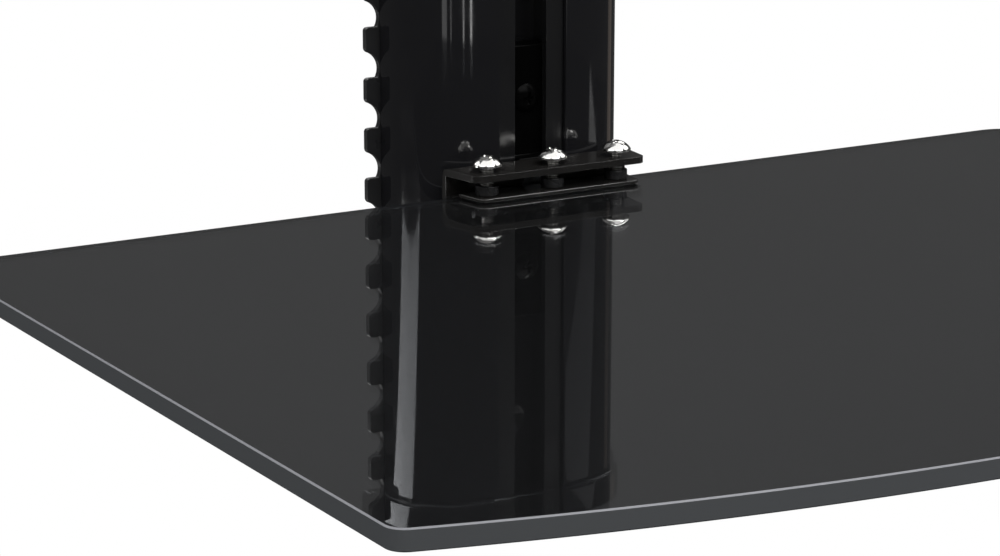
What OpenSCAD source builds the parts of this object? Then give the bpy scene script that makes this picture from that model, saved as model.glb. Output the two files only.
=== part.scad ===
// Wall shelf: one clear-tinted glass shelf clamped to a slotted column, all sizes in millimetres.
// The wall is the plane y = 0, the room is on the -y side, z is up and z = 0 is mid-height of the column.

/* [Column] */
// Height of the column between its two caps
column_h = 294; // [240:6:420]
// Width of the curved body at the back plate
column_w = 77.8; // [76:0.2:84]
// Depth of the curved body in front of the back plate
column_d = 25.4; // [25.2:0.1:32]
// Fullness of the curved body: 2 is an ellipse, more has squarer shoulders
section_power = 3; // [2:0.1:3.4]
// Wall thickness of the curved covers
cover_wall = 2; // [1.4:0.1:2.4]

/* [Back plate] */
// Width of the back plate over its tooth tips
plate_w = 87; // [86:0.2:94]
// Thickness of the back plate
plate_t = 2; // [1.5:0.1:3]
// Distance from one tooth to the next
tooth_pitch = 15.4; // [13:0.1:18]
// Depth of a notch between two teeth
notch_depth = 4.6; // [3.6:0.1:5]
// Radius of the hollow of a notch
notch_r = 5.4; // [5.1:0.1:5.8]
// Height of the lowest ledge above the foot of the column
first_ledge = 3.1; // [2:0.1:20]

/* [Rail] */
// Width of the slotted rail
rail_w = 23; // [22:0.2:26]
// Depth of the rail in front of the back plate
rail_d = 23.7; // [23.2:0.1:24.6]
// Width of the open slot
slot_w = 11; // [10:0.1:12.5]
// Thickness of the two lips beside the slot
lip_t = 2.5; // [2:0.1:3]
// Width of the channel behind the lips
channel_w = 16.6; // [16:0.1:17.6]
// Depth of the channel behind the lips
channel_d = 9.2; // [8.6:0.1:9.8]
// Wall thickness of the box behind the channel
rail_wall = 2.5; // [2:0.1:2.8]

/* [Wall fixing] */
// Height between the two outer wall holes
outer_hole_pitch = 240; // [160:5:260]
// Height between the two inner wall holes
inner_hole_pitch = 80; // [60:5:100]
// Diameter of the wall holes
wall_hole_d = 5.5; // [4.5:0.1:5.6]

/* [Caps] */
// Wall thickness of the caps
cap_wall = 2; // [1.5:0.1:3]
// Thickness of the closed end of a cap
cap_floor = 2.5; // [2.2:0.1:4]
// Height of the skirt round the column
cap_skirt = 7.5; // [6:0.5:12]

/* [Glass] */
// Width of the shelf
glass_w = 380; // [300:5:500]
// Depth of the shelf on its centre line
glass_d = 279.2; // [240:0.2:340]
// Rise of the bowed front over its two corners
front_bow = 28.4; // [12:0.2:45]
// Thickness of the glass
glass_t = 5; // [4:0.5:8]
// Radius of the front corners
front_corner_r = 5; // [4:0.5:25]
// Radius of the back corners
back_corner_r = 15; // [4:0.5:25]
// Ground bevel along every edge of the glass
arris = 0.6; // [0.3:0.1:1]
// Height of the shelf's upper face above the foot of the column
shelf_h = 109; // [95:1:170]

/* [Bracket] */
// Sheet thickness of the bracket
sheet_t = 2; // [1.6:0.1:2.6]
// Width of the bracket along the wall
bracket_w = 64; // [61:0.2:76]
// Width of the bracket's front edge
bracket_front_w = 59.8; // [58.4:0.2:63]
// Depth of the bracket's plates in front of its back
bracket_d = 14.9; // [14:0.1:17]
// Radius of the plates' front corners
bracket_corner_r = 2.5; // [1:0.1:4]
// Free height over the glass, under the top plate
head_room = 6.5; // [6:0.1:8]

/* [Clamp] */
// Distance between the clamp screws
screw_pitch = 22.8; // [20:0.1:25]
// Distance of the screw line from the back edge of the glass
screw_setback = 7.6; // [7:0.1:8.2]
// Thread diameter of the clamp screws
clamp_thread_d = 4; // [3.5:0.1:4.4]
// Head diameter of the clamp screws
clamp_head_d = 9.2; // [8:0.1:11]
// Height of the domed head
clamp_head_h = 3.2; // [2.4:0.1:4]
// Thread left open between head and top plate
head_gap = 1.7; // [1.2:0.1:3]
// Outer diameter of the thrust cups
cup_d = 7.1; // [6:0.1:8]
// Height of the thrust cups
cup_h = 3; // [2.4:0.1:4]
// Thickness of the pressure plate
press_t = 1.1; // [0.8:0.1:1.5]
// Width of the pressure plate's front edge
press_front_w = 56; // [52:0.2:60]
// Thickness of the thin pad under the pressure plate
upper_pad_t = 0.35; // [0.2:0.05:0.5]
// Thickness of the pad under the glass
lower_pad_t = 1; // [0.6:0.1:2]
// Thickness of the buffer behind the glass
buffer_t = 1; // [0.6:0.1:2]

/* [Slide bar] */
// Length of the bar that runs in the channel
bar_h = 84; // [70:1:96]
// Width of the bar
bar_w = 15.8; // [14.5:0.1:15.8]
// Thickness of the bar
bar_t = 8; // [7:0.1:8]
// Width of the neck that stands through the slot
neck_w = 10.2; // [9:0.1:10.2]
// Height of the neck
neck_h = 16.5; // [14:0.1:18]
// Distance between the two lock screws
lock_pitch = 52; // [44:1:56]
// Thread diameter of the lock screws
lock_thread_d = 5; // [4:0.1:6]
// Head diameter of the lock screws
lock_head_d = 8.6; // [7:0.1:9]
// Height of the lock screws' heads
lock_head_h = 2.2; // [1.6:0.1:2.4]

/* [Hidden] */
$fn = 48;

// Clearances and small sizes
overrun = 0.5;            // how far every cut runs past the face that it opens
cover_gap = 0.15;         // cover edge to rail
cap_gap = 0.2;            // cap skirt to column
slide_gap = 0.3;          // bracket back to covers
bar_front_gap = 0.3;      // bar to the lips
thread_gap = 0.05;        // thread to its hole, on the radius
contact_gap = 0.05;       // pad on the clamp to the glass
screw_tip_gap = 0.1;      // lock screw tip to the channel floor

// Column
foot_z = -column_h/2;
plate_y = -plate_t;                       // front face of the back plate
half_w = column_w/2;
cover_x = rail_w/2 + cover_gap;           // front edge of a cover
arc_steps = 28;                           // flats along a cover's curve
hook_reach = 1.2;                         // hook of a cover into the rail's side groove
hook_t = 1.8;
hook_setback = 4.6;                       // hook behind the rail's front face
foot_w = 9;                               // flange of a cover on the back plate
foot_t = 3;
crown_y = plate_y - column_d*pow(1 - pow(cover_x/half_w, section_power), 1/section_power);

// Teeth
notch_centre = notch_r - notch_depth;     // centre of the hollow outside the tip line
notch_lift = 2.7;                         // centre of the hollow above its ledge
tip_r = 1.1;                              // rounded upper corner of a tooth
chin_r = 1.6;                             // rounded lower corner of a tooth
notch_reach = notch_lift + sqrt(notch_r*notch_r - notch_centre*notch_centre);
last_ledge = column_h - cap_skirt - notch_reach - chin_r;
notch_count = floor((last_ledge - first_ledge)/tooth_pitch) + 1;

// Rail
rail_y = plate_y - rail_d;                // front face of the rail
channel_front_y = rail_y + lip_t;
channel_floor_y = channel_front_y + channel_d;
box_front_y = channel_floor_y + rail_wall;
box_back_y = plate_y - rail_wall;
port_y = (box_front_y + box_back_y)/2;    // screw ports for the caps
port_wall = 2.1;
port_bore_d = 2.9;
port_r = port_bore_d/2 + port_wall;
port_x = rail_w/2 - rail_wall/2 - port_r;
lip_chamfer = 0.5;
wall_sink_d = 10;                         // countersink of a wall hole
rail_screw_d = 4;
rail_screw_head_d = 7.4;
rail_screw_sink = 1.5;
rail_screw_l = 6;
rail_screw_z = (outer_hole_pitch + inner_hole_pitch)/4;

// Cover and cap screws
cover_screw_d = 3;
cover_screw_head_d = 5.6;
cover_screw_sink = 1.2;
cover_screw_share = 0.6;                 // of the foot flange, that a cover screw reaches into
cover_screw_l = plate_t + cover_screw_share*foot_t;
cover_screw_edge = 4;                    // from the notches' roots
cover_screw_x = plate_w/2 - notch_depth - cover_screw_edge;
cover_screw_inset = 10;                   // from the outer wall holes towards the middle
cover_screw_z = outer_hole_pitch/2 - cover_screw_inset;
cap_screw_head_d = 6.4;
cap_screw_sink = 1.8;
cap_screw_l = 14;

// Glass and bracket
glass_z = foot_z + shelf_h;               // upper face of the glass
glass_low_z = glass_z - glass_t;
bracket_back_y = crown_y - slide_gap;
bracket_face_y = bracket_back_y - sheet_t;
glass_back_y = bracket_face_y - buffer_t;
screw_y = glass_back_y - screw_setback;
front_r = (pow(glass_w/2, 2) + pow(front_bow, 2))/(2*front_bow);
top_plate_z = glass_z + head_room;
bracket_top_z = top_plate_z + sheet_t;
bottom_plate_z = glass_low_z - lower_pad_t;
bracket_low_z = bottom_plate_z - sheet_t;
bracket_mid_z = (bracket_top_z + bracket_low_z)/2;
fold_r = 1.9;                             // outer radius of the two folds

// Clamp
pad_inset = 0.6;
press_low_z = glass_z + contact_gap + upper_pad_t;
press_top_z = press_low_z + press_t;
press_inset = 0.2;                        // behind the bracket's front edge
press_back_gap = 3.4;                     // in front of the bracket's back
press_y = bracket_face_y - press_back_gap;
press_d = bracket_d - press_inset - press_back_gap;  // depth of the pressure plate
press_flare = (bracket_w - bracket_front_w)/bracket_d/2;
press_corner_r = 3;
cup_wall_z = 0.6;                         // closed bottom of a thrust cup
screw_tip_z = press_top_z + cup_wall_z + contact_gap;
head_z = bracket_top_z + head_gap;
head_rim = 0.6;                           // straight rim under the dome
recess_w = 1;                             // cross recess
recess_l = 4.6;
recess_depth = 1.8;

// Slide bar
bar_front_y = channel_front_y + bar_front_gap;
bar_back_y = bar_front_y + bar_t;
neck_front_y = bracket_back_y;
bolt_d = 6;
bolt_head_d = 10.6;
bolt_sink = 1.7;
pin_d = 2;
pin_lift = neck_h/2 - pin_d;              // pins above and below the bolt
pin_l = 4.5;
pin_share = 0.6;                          // of the sheet, that a pin reaches into
pin_front_y = bracket_back_y - pin_share*sheet_t;
bar_chamfer = 1;

column_black = "#17181a";
steel_black = "#1b1b1d";
glass_tint = "#3f4144";
chrome = "#c9cbcd";
rubber = "#202020";

// Hole for a shank or a head of diameter d
function loose(d) = d + 2*thread_gap;

// Points of an arc from angle a0 to a1 about [cx, cy]
function arc(cx, cy, r, a0, a1, n) =
    [for (i = [0:n]) [cx + r*cos(a0 + (a1 - a0)*i/n), cy + r*sin(a0 + (a1 - a0)*i/n)]];

// Share of a half width or depth on the curved body, from its share on an ellipse
function full(share) = sign(share)*pow(abs(share), 2/section_power);

// Curved body in front of the back plate, from the right side round the front to the left side
function body_curve(a, d, n) =
    [for (i = [0:n]) [a*full(cos(180*i/n)), plate_y - d*full(sin(180*i/n))]];

// One pitch of the toothed edge on the right side, x outwards and z up from the ledge
chin_lift = sqrt(pow(notch_r + chin_r, 2) - pow(notch_centre + chin_r, 2));
chin_turn = atan2(chin_lift, -(notch_centre + chin_r));
ledge_turn = asin(-notch_lift/notch_r);
function tooth(z) = let (tip = plate_w/2) concat(
    arc(tip - tip_r, z - tip_r, tip_r, 0, 90, 3),
    arc(tip + notch_centre, z + notch_lift, notch_r, 180 - ledge_turn, chin_turn, 9),
    arc(tip - chin_r, z + notch_lift + chin_lift, chin_r, chin_turn - 180, 0, 4));
function edge() = [for (i = [0:notch_count - 1], p = tooth(foot_z + first_ledge + i*tooth_pitch)) p];
function flip(points) = [for (i = [len(points) - 1:-1:0]) [-points[i][0], points[i][1]]];

// Turns a drawing in x and z into a plate from y = y0 forwards by t
module upright(y0, t) {
    translate([0, y0, 0]) rotate([90, 0, 0]) linear_extrude(t) children();
}

// Straight hole or shank along y, from y0 back to y1
module along_y(x, z, d, y0, y1) {
    translate([x, y1, z]) rotate([90, 0, 0]) cylinder(d = d, h = y1 - y0);
}

// Countersunk head with its flat face at y0, pointing to +y or, when turned, to -y
module sunk_y(x, z, d, shank, depth, y0, dir) {
    translate([x, y0, z]) rotate([-90*dir, 0, 0]) cylinder(d1 = d, d2 = shank, h = depth);
}

module at_wall_holes() {
    for (side = [-1, 1], pitch = [outer_hole_pitch, inner_hole_pitch]) translate([0, 0, side*pitch/2]) children();
}

module at_rail_screws() {
    for (z = [-rail_screw_z, 0, rail_screw_z]) translate([0, 0, z]) children();
}

module at_cover_screws(side) {
    for (z = [-cover_screw_z, 0, cover_screw_z]) translate([side*cover_screw_x, 0, z]) children();
}

module wall_plate() {
    half = edge();
    color(column_black) difference() {
        upright(0, plate_t) polygon(concat(
            [[-plate_w/2, foot_z], [plate_w/2, foot_z]], half,
            [[plate_w/2, -foot_z], [-plate_w/2, -foot_z]], flip(half)));
        at_wall_holes() along_y(0, 0, wall_hole_d, plate_y - overrun, overrun);
        at_rail_screws() {
            along_y(0, 0, loose(rail_screw_d), plate_y - overrun, overrun);
            sunk_y(0, 0, loose(rail_screw_head_d), rail_screw_d, rail_screw_sink + thread_gap, 0, -1);
        }
        for (side = [-1, 1]) at_cover_screws(side) {
            along_y(0, 0, loose(cover_screw_d), plate_y - overrun, overrun);
            sunk_y(0, 0, loose(cover_screw_head_d), cover_screw_d, cover_screw_sink + thread_gap, 0, -1);
        }
    }
}

// Cross-section of the rail, x across and y out from the wall
module rail_section() {
    difference() {
        union() {
            difference() {
                translate([-rail_w/2, rail_y]) square([rail_w, rail_d]);
                translate([-rail_w/2 + rail_wall, box_front_y])
                    square([rail_w - 2*rail_wall, box_back_y - box_front_y]);
            }
            for (side = [-1, 1]) translate([side*port_x, port_y]) circle(r = port_r);
        }
        translate([-slot_w/2, rail_y - overrun]) square([slot_w, lip_t + 2*overrun]);
        polygon([[-slot_w/2 - lip_chamfer, rail_y], [slot_w/2 + lip_chamfer, rail_y],
                 [slot_w/2, rail_y + lip_chamfer], [-slot_w/2, rail_y + lip_chamfer]]);
        translate([-channel_w/2, channel_front_y]) square([channel_w, channel_d]);
        for (side = [-1, 1]) {
            translate([side*port_x, port_y]) circle(d = port_bore_d);
            translate([side*(rail_w/2 - hook_reach/2 + overrun/2), rail_y + hook_setback + hook_t/2])
                square([hook_reach + overrun, hook_t + 2*cover_gap], center = true);
        }
    }
}

module rail() {
    color(column_black) difference() {
        translate([0, 0, foot_z]) linear_extrude(column_h) rail_section();
        at_wall_holes() {
            along_y(0, 0, wall_hole_d, channel_floor_y - overrun, 0);
            sunk_y(0, 0, wall_sink_d, wall_hole_d, (wall_sink_d - wall_hole_d)/2, channel_floor_y, 1);
        }
        at_rail_screws() along_y(0, 0, loose(rail_screw_d), box_back_y - overrun, 0);
    }
}

module rail_screws() {
    color(chrome) at_rail_screws() {
        along_y(0, 0, rail_screw_d, -rail_screw_l, 0);
        sunk_y(0, 0, rail_screw_head_d, rail_screw_d, rail_screw_sink, 0, -1);
    }
}

// Cross-section of the right cover
module cover_section() {
    outer = body_curve(half_w, column_d, 2*arc_steps);
    inner = body_curve(half_w - cover_wall, column_d - cover_wall, 2*arc_steps);
    intersection() {
        polygon(outer);
        union() {
            difference() {
                translate([cover_x, plate_y - column_d]) square([half_w, column_d]);
                polygon(inner);
            }
            translate([cover_x, plate_y - column_d])
                square([cover_wall, column_d - rail_d + hook_setback + hook_t]);
            translate([half_w - foot_w, plate_y - foot_t]) square([foot_w, foot_t]);
        }
    }
}

module right_cover() {
    color(column_black) difference() {
        union() {
            translate([0, 0, foot_z]) linear_extrude(column_h) cover_section();
            translate([rail_w/2 - hook_reach + cover_gap, rail_y + hook_setback, foot_z])
                cube([hook_reach + cover_wall - cover_gap, hook_t, column_h]);
        }
        at_cover_screws(1) along_y(0, 0, loose(cover_screw_d), plate_y - foot_t - overrun, 0);
    }
}

module left_cover() {
    mirror([1, 0, 0]) right_cover();
}

module cover_screws() {
    color(chrome) for (side = [-1, 1]) at_cover_screws(side) {
        along_y(0, 0, cover_screw_d, -cover_screw_l, 0);
        sunk_y(0, 0, cover_screw_head_d, cover_screw_d, cover_screw_sink, 0, -1);
    }
}

// Block of height h round the column and its back plate, grown by g
module cap_block(g, h) {
    linear_extrude(h) polygon(body_curve(half_w + g, column_d + g, 2*arc_steps));
    translate([-plate_w/2 - g, plate_y - g, 0]) cube([plate_w + 2*g, plate_t + g, h]);
}

// Cap at the foot of the column, z measured from its outer face
module cap() {
    difference() {
        union() cap_block(cap_gap + cap_wall, cap_floor + cap_skirt);
        translate([0, 0, cap_floor]) cap_block(cap_gap, cap_skirt + overrun);
        for (side = [-1, 1]) translate([side*port_x, port_y, 0]) {
            translate([0, 0, -overrun]) cylinder(d = loose(port_bore_d), h = cap_floor + 2*overrun);
            cylinder(d1 = loose(cap_screw_head_d), d2 = port_bore_d, h = cap_screw_sink + thread_gap);
        }
    }
}

module cap_screws() {
    for (side = [-1, 1]) translate([side*port_x, port_y, 0]) {
        cylinder(d = port_bore_d - 2*thread_gap, h = cap_screw_l);
        difference() {
            cylinder(d1 = cap_screw_head_d, d2 = port_bore_d - 2*thread_gap, h = cap_screw_sink);
            cross_recess(cap_screw_head_d/2, cap_screw_sink/2);
        }
    }
}

// Cross recess that opens at z = 0 and goes up
module cross_recess(l, depth) {
    for (turn = [0, 90]) rotate([0, 0, turn])
        translate([-l/2, -recess_w/2, -overrun]) cube([l, recess_w, depth + overrun]);
}

module bottom_cap() {
    color(column_black) translate([0, 0, foot_z - cap_floor]) cap();
}

module top_cap() {
    color(column_black) translate([0, 0, cap_floor - foot_z]) mirror([0, 0, 1]) cap();
}

module bottom_cap_screws() {
    color(chrome) translate([0, 0, foot_z - cap_floor]) cap_screws();
}

module top_cap_screws() {
    color(chrome) translate([0, 0, cap_floor - foot_z]) mirror([0, 0, 1]) cap_screws();
}

// Bar in the channel, with the neck that stands through the slot
module slide_bar() {
    color(steel_black) difference() {
        union() {
            translate([0, 0, bracket_mid_z - bar_h/2]) linear_extrude(bar_h) polygon([
                [-bar_w/2, bar_front_y], [bar_w/2, bar_front_y], [bar_w/2, bar_back_y - bar_chamfer],
                [bar_w/2 - bar_chamfer, bar_back_y], [-bar_w/2 + bar_chamfer, bar_back_y],
                [-bar_w/2, bar_back_y - bar_chamfer]]);
            translate([-neck_w/2, neck_front_y, bracket_mid_z - neck_h/2])
                cube([neck_w, bar_front_y - neck_front_y + overrun, neck_h]);
        }
        for (side = [-1, 1]) along_y(0, bracket_mid_z + side*lock_pitch/2, loose(lock_thread_d),
                                     bar_front_y - overrun, bar_back_y + overrun);
        along_y(0, bracket_mid_z, loose(bolt_d), neck_front_y - overrun, bar_back_y + overrun);
        at_pins() along_y(0, 0, loose(pin_d), neck_front_y - overrun, pin_front_y + pin_l + thread_gap);
    }
}

// Lock screw at height z: domed head in front of the bar, tip near the channel floor
module lock_screw(z) {
    color(steel_black) difference() {
        union() {
            along_y(0, z, lock_thread_d, bar_front_y, channel_floor_y - screw_tip_gap);
            translate([0, bar_front_y, z]) rotate([90, 0, 0]) domed_head(lock_head_d, lock_head_h);
        }
        translate([0, bar_front_y - lock_head_h, z]) rotate([-90, 0, 0])
            cross_recess(lock_head_d/2, lock_head_h/2);
    }
}

module lock_screw_upper() {
    lock_screw(bracket_mid_z + lock_pitch/2);
}

module lock_screw_lower() {
    lock_screw(bracket_mid_z - lock_pitch/2);
}

// Head with a straight rim and a domed top, standing on z = 0
module domed_head(d, h) {
    dome = h - head_rim;
    r = (d*d/4 + dome*dome)/(2*dome);
    cylinder(d = d, h = head_rim);
    intersection() {
        translate([0, 0, h - r]) sphere(r = r, $fn = 96);
        translate([0, 0, head_rim/2]) cylinder(d = d, h = h);
    }
}

// Plate that widens towards the wall, with round front corners, from y0 forwards by d
function flared(front_w, d, flare, r, y0) = let (
    lean = atan(flare), x = front_w/2, y = y0 - d, k = r*tan((90 - lean)/2)) concat(
    [[x + flare*d, y0]], arc(x - k, y + r, r, -lean, -90, 6),
    arc(-x + k, y + r, r, -90, lean - 180, 6), [[-x - flare*d, y0]]);

module bracket_plate(z) {
    translate([0, 0, z]) linear_extrude(sheet_t)
        polygon(flared(bracket_front_w, bracket_d, press_flare, bracket_corner_r,
                       bracket_face_y + overrun));
}

module at_clamp_screws() {
    for (i = [-1:1]) translate([i*screw_pitch, screw_y, 0]) children();
}

// Folded steel channel that holds the back of the glass
module shelf_bracket() {
    color(steel_black) difference() {
        union() {
            bracket_plate(top_plate_z);
            bracket_plate(bottom_plate_z - sheet_t);
            translate([-bracket_w/2, bracket_back_y, 0]) rotate([90, 0, 90]) linear_extrude(bracket_w)
                polygon(concat([[-sheet_t, bracket_low_z]],
                    arc(-fold_r, bracket_low_z + fold_r, fold_r, -90, 0, 5),
                    arc(-fold_r, bracket_top_z - fold_r, fold_r, 0, 90, 5), [[-sheet_t, bracket_top_z]]));
        }
        at_clamp_screws() translate([0, 0, top_plate_z - overrun])
            cylinder(d = loose(clamp_thread_d), h = sheet_t + 2*overrun);
        along_y(0, bracket_mid_z, loose(bolt_d), bracket_face_y - overrun, bracket_back_y + overrun);
        sunk_y(0, bracket_mid_z, loose(bolt_head_d), bolt_d, bolt_sink + thread_gap, bracket_face_y, 1);
        at_pins() along_y(0, 0, loose(pin_d), pin_front_y - thread_gap, bracket_back_y + overrun);
    }
}

module bracket_bolt() {
    color(chrome) {
        along_y(0, bracket_mid_z, bolt_d, bracket_face_y, bar_back_y);
        sunk_y(0, bracket_mid_z, bolt_head_d, bolt_d, bolt_sink, bracket_face_y, 1);
    }
}

module at_pins() {
    for (side = [-1, 1]) translate([0, 0, bracket_mid_z + side*pin_lift]) children();
}

module locating_pins() {
    color(chrome) at_pins() along_y(0, 0, pin_d, pin_front_y, pin_front_y + pin_l);
}

module lower_pad() {
    color(rubber) translate([0, 0, bottom_plate_z]) linear_extrude(lower_pad_t)
        polygon(flared(bracket_front_w - 2*pad_inset, bracket_d - pad_inset - buffer_t, press_flare,
                       bracket_corner_r, glass_back_y));
}

module edge_buffer() {
    color(rubber) translate([-bracket_front_w/2, glass_back_y, glass_low_z])
        cube([bracket_front_w, buffer_t, glass_t]);
}

// Outline of the glass, drawn in by g
function glass_outline(g) = let (
    x = glass_w/2 - g, yb = glass_back_y - g, yc = glass_back_y - glass_d + front_r, R = front_r - g,
    rb = back_corner_r - g, rf = front_corner_r - g,
    cy = yc - sqrt(pow(R - rf, 2) - pow(x - rf, 2)), lean = atan2(yc - cy, x - rf)) concat(
    arc(x - rb, yb - rb, rb, 90, 0, 8), arc(x - rf, cy, rf, 0, -lean, 7),
    [for (i = [1:2*arc_steps - 1]) let (a = -lean - (180 - 2*lean)*i/(2*arc_steps))
        [R*cos(a), yc + R*sin(a)]],
    arc(rf - x, cy, rf, lean - 180, -180, 7), arc(rb - x, yb - rb, rb, 180, 90, 8));

module glass_shelf() {
    color(glass_tint, 0.6) translate([0, 0, glass_low_z]) {
        hull() {
            linear_extrude(glass_t) polygon(glass_outline(arris));
            translate([0, 0, arris]) linear_extrude(glass_t - 2*arris) polygon(glass_outline(0));
        }
    }
}

module press_outline(inset) {
    polygon(flared(press_front_w - 2*inset, press_d - 2*inset, press_flare, press_corner_r - inset,
                   press_y - inset));
}

module upper_pad() {
    color(rubber) translate([0, 0, glass_z + contact_gap]) linear_extrude(upper_pad_t)
        press_outline(pad_inset);
}

module pressure_plate() {
    color(steel_black) translate([0, 0, press_low_z]) linear_extrude(press_t) press_outline(0);
}

module thrust_cup(i) {
    color(rubber) translate([i*screw_pitch, screw_y, press_top_z]) difference() {
        cylinder(d = cup_d, h = cup_h);
        translate([0, 0, cup_wall_z]) cylinder(d = loose(clamp_thread_d), h = cup_h);
    }
}

module clamp_screw(i) {
    color(chrome) translate([i*screw_pitch, screw_y, 0]) difference() {
        union() {
            translate([0, 0, screw_tip_z])
                cylinder(d = clamp_thread_d, h = head_z - screw_tip_z + head_rim/2);
            translate([0, 0, head_z]) domed_head(clamp_head_d, clamp_head_h);
        }
        translate([0, 0, head_z + clamp_head_h]) mirror([0, 0, 1]) cross_recess(recess_l, recess_depth);
    }
}

wall_plate();
rail();
rail_screws();
left_cover();
right_cover();
cover_screws();
top_cap();
bottom_cap();
top_cap_screws();
bottom_cap_screws();
slide_bar();
lock_screw_upper();
lock_screw_lower();
shelf_bracket();
bracket_bolt();
locating_pins();
lower_pad();
edge_buffer();
glass_shelf();
upper_pad();
pressure_plate();
thrust_cup(-1);  // thrust_cup_left
thrust_cup(0);  // thrust_cup_middle
thrust_cup(1);  // thrust_cup_right
clamp_screw(-1);  // clamp_screw_left
clamp_screw(0);  // clamp_screw_middle
clamp_screw(1);  // clamp_screw_right
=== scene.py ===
"""Looks of a floating glass shelf on its slotted wall column.

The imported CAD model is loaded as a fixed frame. Each sub-assembly below is a class that builds its visible
pieces at the places of the CAD nodes and dresses them in the finishes of the real ones. Sizes are in
millimetres until a mesh is made, and every Blender object is in metres.
"""

from __future__ import annotations

import logging
import math
from dataclasses import dataclass, field
from enum import Enum
from functools import cache
from typing import Any, Sequence

import bmesh
import bpy
from mathutils import Matrix, Vector

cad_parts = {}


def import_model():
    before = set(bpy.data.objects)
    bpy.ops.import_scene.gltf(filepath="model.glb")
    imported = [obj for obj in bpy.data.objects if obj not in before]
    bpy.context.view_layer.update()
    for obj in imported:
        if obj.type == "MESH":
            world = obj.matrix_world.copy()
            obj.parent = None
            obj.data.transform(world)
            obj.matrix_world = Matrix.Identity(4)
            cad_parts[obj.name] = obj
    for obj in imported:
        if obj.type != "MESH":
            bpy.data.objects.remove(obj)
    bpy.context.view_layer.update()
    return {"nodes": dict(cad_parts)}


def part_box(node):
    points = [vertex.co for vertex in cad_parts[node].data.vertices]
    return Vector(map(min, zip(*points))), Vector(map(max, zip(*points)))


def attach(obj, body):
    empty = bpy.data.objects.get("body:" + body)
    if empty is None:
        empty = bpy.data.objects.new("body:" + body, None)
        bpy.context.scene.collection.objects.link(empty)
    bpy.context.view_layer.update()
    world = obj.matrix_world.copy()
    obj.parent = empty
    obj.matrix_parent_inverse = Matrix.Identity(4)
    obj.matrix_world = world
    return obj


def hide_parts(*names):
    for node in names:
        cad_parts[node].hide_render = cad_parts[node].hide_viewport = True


LOG = logging.getLogger("glass_shelf")
MM = 0.001
WELD = 1e-4              # millimetres below which two points of a mesh are one
SHARP_MARGIN = 12        # degrees that a sharp edge bends more than the least rounded one
PATCH_DETAIL = 3.0       # octaves of the noise that wanders in the roughness
GRAIN_DETAIL = 2.0       # octaves of the noise that makes the texture
NOISE_RANGE = (0.3, 0.7)
SHANK_FLATS = 32
THREAD_FLATS = 28
RIDGE_CORNERS = 4

Point = tuple[float, float]
Place = tuple[float, float, float]
Rgba = tuple[float, float, float, float]
Piece = bpy.types.Object
Tree = bpy.types.NodeTree
Socket = bpy.types.NodeSocket


# Colours and nodes

def linear(colour: str) -> Rgba:
    """Turns an sRGB colour into linear light.

    Args:
        colour: The colour as six hex digits after a hash sign.

    Returns:
        Red, green, blue and an alpha of 1.
    """
    parts = [int(colour[i:i + 2], 16) / 255 for i in (1, 3, 5)]
    light = [p / 12.92 if p <= 0.04045 else ((p + 0.055) / 1.055) ** 2.4 for p in parts]
    return (light[0], light[1], light[2], 1.0)


def add(tree: Tree, kind: str, settings: dict[str, Any] | None = None,
        inputs: dict[Any, Any] | None = None) -> bpy.types.Node:
    """Adds a node with its settings and links.

    Args:
        tree: The node tree that gets the node.
        kind: The node's type name.
        settings: Attributes of the node.
        inputs: Values or output sockets, each by its input's name or number.

    Returns:
        The new node.
    """
    node = tree.nodes.new(kind)
    for name, value in (settings or {}).items():
        setattr(node, name, value)
    for name, value in (inputs or {}).items():
        if isinstance(value, Socket):
            tree.links.new(value, node.inputs[name])
        else:
            node.inputs[name].default_value = value
    return node


def blank(owner: bpy.types.Material | bpy.types.World) -> Tree:
    """Empties a new material's or world's node tree.

    Args:
        owner: The material or world.

    Returns:
        Its tree, without a node.
    """
    owner.use_nodes = True
    owner.node_tree.nodes.clear()
    return owner.node_tree


def per_metre(size: float) -> float:
    """Scale of a pattern whose features are this many millimetres wide."""
    return 1 / (size * MM)


# Finishes

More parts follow.
